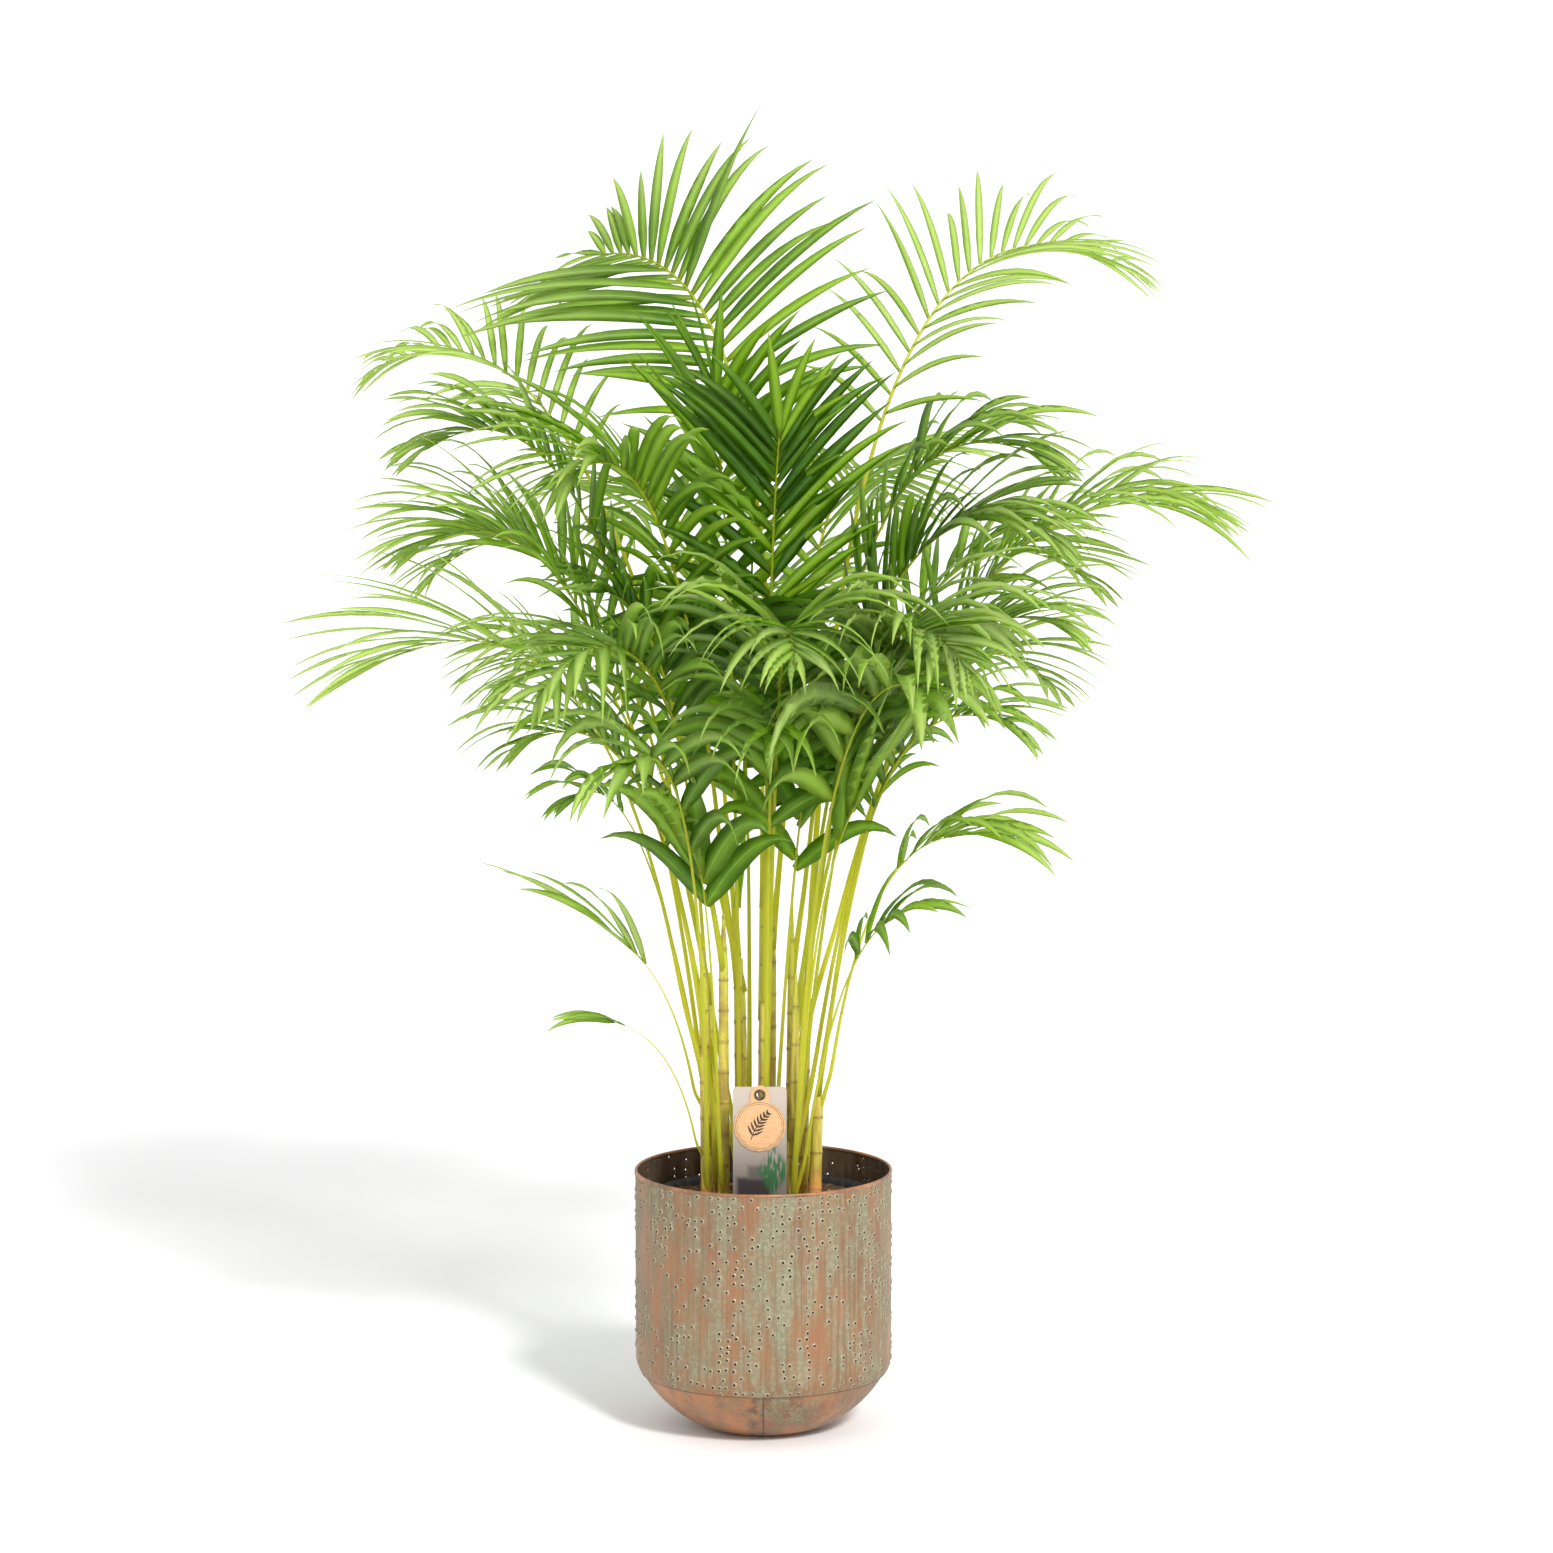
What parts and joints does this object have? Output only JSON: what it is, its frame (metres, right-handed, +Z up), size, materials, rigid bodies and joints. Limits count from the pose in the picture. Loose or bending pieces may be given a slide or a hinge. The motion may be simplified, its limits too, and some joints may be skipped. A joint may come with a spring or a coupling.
{
  "type": "potted palm",
  "caption": "Tall feathery palm with arching fronds on slender canes, standing in a nursery pot inside a round-bottomed punched metal pot cover, with a care card and hang tag.",
  "frame": {"origin": "centre of the flat disc under the pot, on the floor", "axes": "+Z up, -Y towards the front with the care card, +X to its right"},
  "size_m": [0.97, 0.8279, 1.3164],
  "materials": {
    "verdigris_copper": "sheet metal with a copper finish, green verdigris and brushed streaks",
    "bowl_copper": "sheet metal with a plain worn copper finish",
    "nursery_plastic": "thin black plastic",
    "soil": "loose peat and coir",
    "card_print": "printed plastic sheet",
    "kraft_board": "plain kraft board with dark print",
    "eyelet_metal": "dark bronzed metal",
    "cane_skin": "smooth olive-yellow skin with brown scars",
    "leaf_dark": "satin dark green",
    "leaf_green": "satin mid green",
    "leaf_bright": "satin bright green",
    "leaf_pale": "satin pale yellow-green"
  },
  "bodies": {
    "root": {"pot_wall": "verdigris_copper", "pot_base": "bowl_copper", "nursery_pot": "nursery_plastic", "soil": "soil", "care_card": "card_print", "hang_tag": "kraft_board", "eyelet": "eyelet_metal", "cane_01": "cane_skin", "cane_02": "cane_skin", "cane_03": "cane_skin", "cane_04": "cane_skin", "cane_05": "cane_skin", "cane_06": "cane_skin", "cane_07": "cane_skin", "cane_08": "cane_skin", "cane_09": "cane_skin", "cane_10": "cane_skin", "cane_11": "cane_skin", "cane_12": "cane_skin", "frond_crown": "leaf_green", "frond_back_right_tall": "leaf_pale", "frond_back_left_tall": "leaf_pale", "frond_left_dark": "leaf_dark", "frond_left_fine": "leaf_bright", "frond_left_far": "leaf_pale", "frond_left_low": "leaf_green", "frond_left_slender": "leaf_green", "frond_left_lowest": "leaf_pale", "frond_sprout": "leaf_bright", "frond_right_low": "leaf_bright", "frond_right_lowest": "leaf_green", "frond_right_reach": "leaf_green", "frond_right_broad": "leaf_pale", "frond_right_mid": "leaf_green", "frond_right_dense": "leaf_dark", "frond_right_far": "leaf_bright", "frond_right_upper": "leaf_green", "frond_front_fan": "leaf_dark", "frond_front_fan_left": "leaf_green", "frond_front_left_broad": "leaf_green", "frond_front_high": "leaf_dark", "frond_front_mid": "leaf_green", "frond_back_left": "leaf_green", "frond_back_right": "leaf_green", "frond_back": "leaf_dark", "frond_back_left_low": "leaf_green", "frond_back_right_low": "leaf_green", "frond_left_front_high": "leaf_bright", "frond_right_front": "leaf_dark", "frond_left_front": "leaf_green", "frond_front_low_left": "leaf_green", "frond_front_low_right": "leaf_green", "frond_right_back_mid": "leaf_green", "frond_left_back_mid": "leaf_green", "frond_center_dark": "leaf_dark", "frond_center_low": "leaf_green", "frond_right_hang": "leaf_dark", "frond_left_inner": "leaf_green", "frond_spear": "leaf_bright"}
  },
  "joints": []
}
